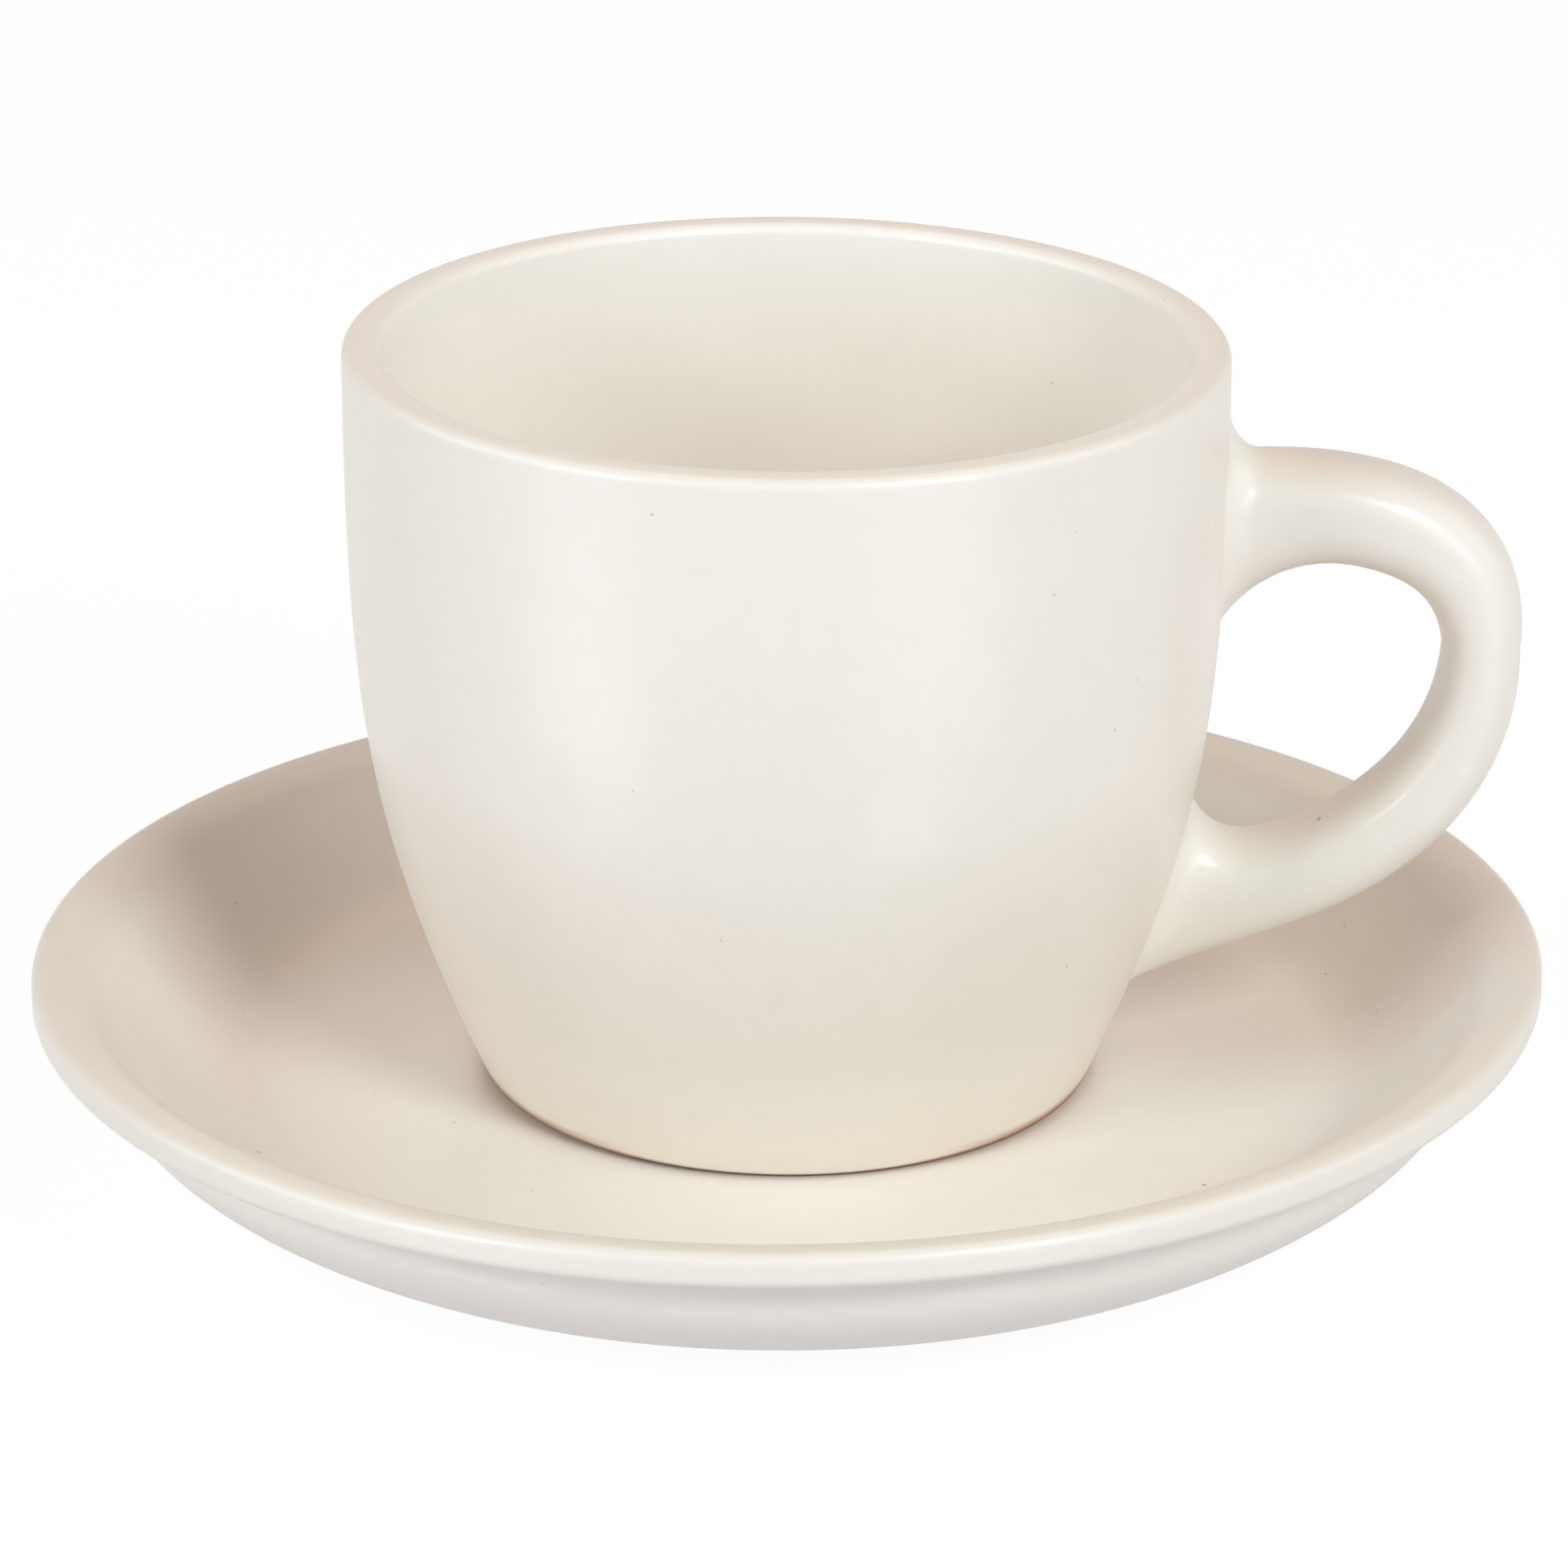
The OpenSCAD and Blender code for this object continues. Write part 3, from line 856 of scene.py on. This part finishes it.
# Soft boxes: name, angle from the camera to the right and angle over the table in degrees, distance, width,
# height, colour and power
SOFT_BOXES = (
    ("left_key", -49.0, 25.0, 1.0, 0.34, 0.26, (0.92, 0.98, 1.0), 2.8),
    ("right_key", 33.0, 33.0, 1.0, 0.28, 0.28, (0.95, 1.0, 0.97), 4.1),
    ("left_low", -53.0, 8.0, 1.0, 0.40, 0.26, (0.7, 0.77, 1.0), 1.7),
    ("right_low", 38.0, 12.0, 1.0, 0.40, 0.30, (0.66, 0.8, 1.0), 1.95),
    ("left_side", -88.0, 28.0, 1.0, 0.60, 0.60, (0.91, 1.0, 0.93), 2.45),
    ("right_side", 88.0, 28.0, 1.0, 0.60, 0.60, (1.0, 0.96, 0.94), 1.65),
    ("back_high", 180.0, 60.0, 1.0, 0.80, 0.80, (1.0, 0.47, 0.19), 1.6),
    ("left_high", -70.0, 60.0, 1.0, 0.60, 0.60, (1.0, 0.49, 0.44), 0.4),
    ("right_high", 70.0, 60.0, 1.0, 0.60, 0.60, (1.0, 0.96, 0.87), 1.0),
)

# Panels that lie on the table: name, angle to the right, reach from the axis, width, depth, colour and power
TABLE_PANELS = (
    ("left_near", -50.0, 0.1325, 0.052, 0.035, (0.84, 0.94, 1.0), 0.0115),
    ("left_far", -50.0, 0.1775, 0.068, 0.055, (0.84, 0.94, 1.0), 0.0235),
    ("right_near", 34.0, 0.1325, 0.076, 0.035, (1.0, 0.94, 1.0), 0.0075),
    ("right_far", 34.0, 0.1775, 0.102, 0.055, (1.0, 0.94, 1.0), 0.016),
)


def area_lamp(name, width, height, tint, power):
    """A rectangular lamp, still at the origin."""
    lamp = bpy.data.lights.new(name, "AREA")
    lamp.shape = "RECTANGLE"
    lamp.size = width
    lamp.size_y = height
    lamp.energy = power
    lamp.color = tint
    holder = bpy.data.objects.new(name, lamp)
    bpy.context.scene.collection.objects.link(holder)
    return holder


def add_table_panel(name, around, reach, width, depth, tint, power):
    """A panel that lies on the table beside the object and shows only as a reflection in the glaze."""
    holder = area_lamp(name, width, depth, tint, power)
    around = math.radians(around)
    holder.location = (reach * math.sin(around), -reach * math.cos(around), MM)
    holder.rotation_euler = (math.pi, 0.0, around)
    holder.visible_camera = False
    holder.visible_diffuse = False


def add_soft_box(name, around, above, distance, width, height, tint, power, aim):
    """A lamp that looks at the middle of the object from a direction."""
    holder = area_lamp(name, width, height, tint, power)
    around, above = math.radians(around), math.radians(above)
    side, front = math.sin(around), -math.cos(around)
    way = Vector((side * math.cos(above), front * math.cos(above), math.sin(above)))
    holder.location = aim + distance * way
    holder.rotation_euler = way.to_track_quat("Z", "Y").to_euler()


# Half the side of the floor, the camera's sensor in millimetres, and the nearest distance that it sees
FLOOR_HALF = 3.0
SENSOR = 36.0
NEAREST = 0.01


class ESPRESSO_OT_stage(bpy.types.Operator):
    """Set up the floor, the light and the camera"""

    bl_idname = "espresso.stage"
    bl_label = "Stage"

    def execute(self, context):
        scene = context.scene
        look = scene.espresso_studio
        aim = Vector((look.aim_side, 0.0, look.aim_height))

        camera = bpy.data.objects.new("camera", bpy.data.cameras.new("camera"))
        camera.data.lens = look.lens
        camera.data.sensor_width = SENSOR
        camera.data.clip_start = NEAREST
        way = Vector((0.0, -math.cos(look.elevation), math.sin(look.elevation)))
        camera.location = aim + look.distance * way
        camera.rotation_euler = way.to_track_quat("Z", "Y").to_euler()
        scene.collection.objects.link(camera)
        scene.camera = camera

        corners = ((-1, -1), (1, -1), (1, 1), (-1, 1))
        mesh = bpy.data.meshes.new("floor")
        mesh.from_pydata([(FLOOR_HALF * x, FLOOR_HALF * y, 0.0) for x, y in corners], [], [(0, 1, 2, 3)])
        floor = bpy.data.objects.new("floor", mesh)
        mesh.materials.append(floor_material(look.floor))
        scene.collection.objects.link(floor)

        for box in SOFT_BOXES:
            add_soft_box(*box, aim)
        for panel in TABLE_PANELS:
            add_table_panel(*panel)
        scene.world = studio_world()
        scene.view_settings.view_transform = "Standard"
        return {"FINISHED"}


def background_seen(tree):
    """1 for what the camera sees directly, in a reflection or through glass, and 0 for light on things."""
    path = tree.nodes.new("ShaderNodeLightPath").outputs
    seen = math_node(tree, "MAXIMUM", path["Is Camera Ray"], path["Is Glossy Ray"])
    return math_node(tree, "MAXIMUM", seen, path["Is Transmission Ray"])


# Floor: its roughness, the strength and the share of its plain white, and how much it mirrors in the glaze
FLOOR_ROUGHNESS = 0.9
WHITE_STRENGTH = 1.07
WHITE_SHARE = 0.88
MIRROR_ROUGHNESS = 0.1
MIRROR_SHARE = 0.35


def floor_material(tint):
    """A pale floor, mostly plain white to the eye, with a soft shadow and a mirror image in the glaze."""
    material = bpy.data.materials.new("floor")
    material.use_nodes = True
    tree = material.node_tree
    pale = tree.nodes["Principled BSDF"]
    pale.inputs["Base Color"].default_value = (*tint, 1.0)
    pale.inputs["Roughness"].default_value = FLOOR_ROUGHNESS
    pale.inputs["Specular IOR Level"].default_value = 0.0
    white = tree.nodes.new("ShaderNodeEmission")
    white.inputs["Strength"].default_value = WHITE_STRENGTH
    gloss = tree.nodes.new("ShaderNodeBsdfGlossy")
    gloss.inputs["Roughness"].default_value = MIRROR_ROUGHNESS
    blend = tree.nodes.new("ShaderNodeMixShader")
    coated = tree.nodes.new("ShaderNodeMixShader")
    mirrored = tree.nodes.new("ShaderNodeLightPath").outputs["Is Glossy Ray"]
    link(tree, math_node(tree, "MULTIPLY", background_seen(tree), WHITE_SHARE), blend.inputs["Fac"])
    link(tree, pale.outputs["BSDF"], blend.inputs[1])
    link(tree, white.outputs["Emission"], blend.inputs[2])
    link(tree, math_node(tree, "MULTIPLY", mirrored, MIRROR_SHARE), coated.inputs["Fac"])
    link(tree, blend.outputs["Shader"], coated.inputs[1])
    link(tree, gloss.outputs["BSDF"], coated.inputs[2])
    link(tree, coated.outputs["Shader"], tree.nodes["Material Output"].inputs["Surface"])
    return material


def studio_world():
    """A room that is plain white to the eye and gives no light of its own."""
    world = bpy.data.worlds.new("studio")
    world.use_nodes = True
    tree = world.node_tree
    white = tree.nodes["Background"]
    white.inputs["Color"].default_value = (1.0, 1.0, 1.0, 1.0)
    link(tree, background_seen(tree), white.inputs["Strength"])
    return world


class ESPRESSO_PT_panel(bpy.types.Panel):
    """Sizes, looks and pieces of the espresso cup with saucer"""

    bl_idname = "ESPRESSO_PT_panel"
    bl_label = "Espresso cup"
    bl_space_type = "VIEW_3D"
    bl_region_type = "UI"
    bl_category = "Espresso cup"

    def draw(self, context):
        scene = context.scene
        for title, group, operator in PANEL_ROWS:
            box = self.layout.box()
            box.label(text=title)
            settings = getattr(scene, group)
            for key in settings.__annotations__:
                box.prop(settings, key)
            if operator:
                box.operator(operator)


PANEL_ROWS = (
    ("Saucer", "espresso_saucer", ESPRESSO_OT_saucer.bl_idname),
    ("Cup", "espresso_cup", ESPRESSO_OT_cup.bl_idname),
    ("Handle", "espresso_handle", ESPRESSO_OT_handle.bl_idname),
    ("Glaze", "espresso_glaze", None),
    ("Studio", "espresso_studio", ESPRESSO_OT_stage.bl_idname),
)
GROUPS = {
    "espresso_saucer": SaucerSizes,
    "espresso_cup": CupSizes,
    "espresso_handle": HandleSizes,
    "espresso_glaze": GlazeLook,
    "espresso_studio": StudioLook,
}
CLASSES = (
    *GROUPS.values(),
    ESPRESSO_OT_saucer,
    ESPRESSO_OT_cup,
    ESPRESSO_OT_handle,
    ESPRESSO_OT_stage,
    ESPRESSO_PT_panel,
)


def register():
    """Add the classes and their settings to Blender."""
    for item in CLASSES:
        bpy.utils.register_class(item)
    for name, group in GROUPS.items():
        setattr(bpy.types.Scene, name, bpy.props.PointerProperty(type=group))


def unregister():
    """Take the settings and the classes away again."""
    for name in GROUPS:
        delattr(bpy.types.Scene, name)
    for item in reversed(CLASSES):
        bpy.utils.unregister_class(item)


def main():
    """Register the add-on, and make every piece and the stage."""
    register()
    bpy.ops.espresso.saucer()
    bpy.ops.espresso.cup()
    bpy.ops.espresso.handle()
    bpy.ops.espresso.stage()


if __name__ == "__main__":
    main()
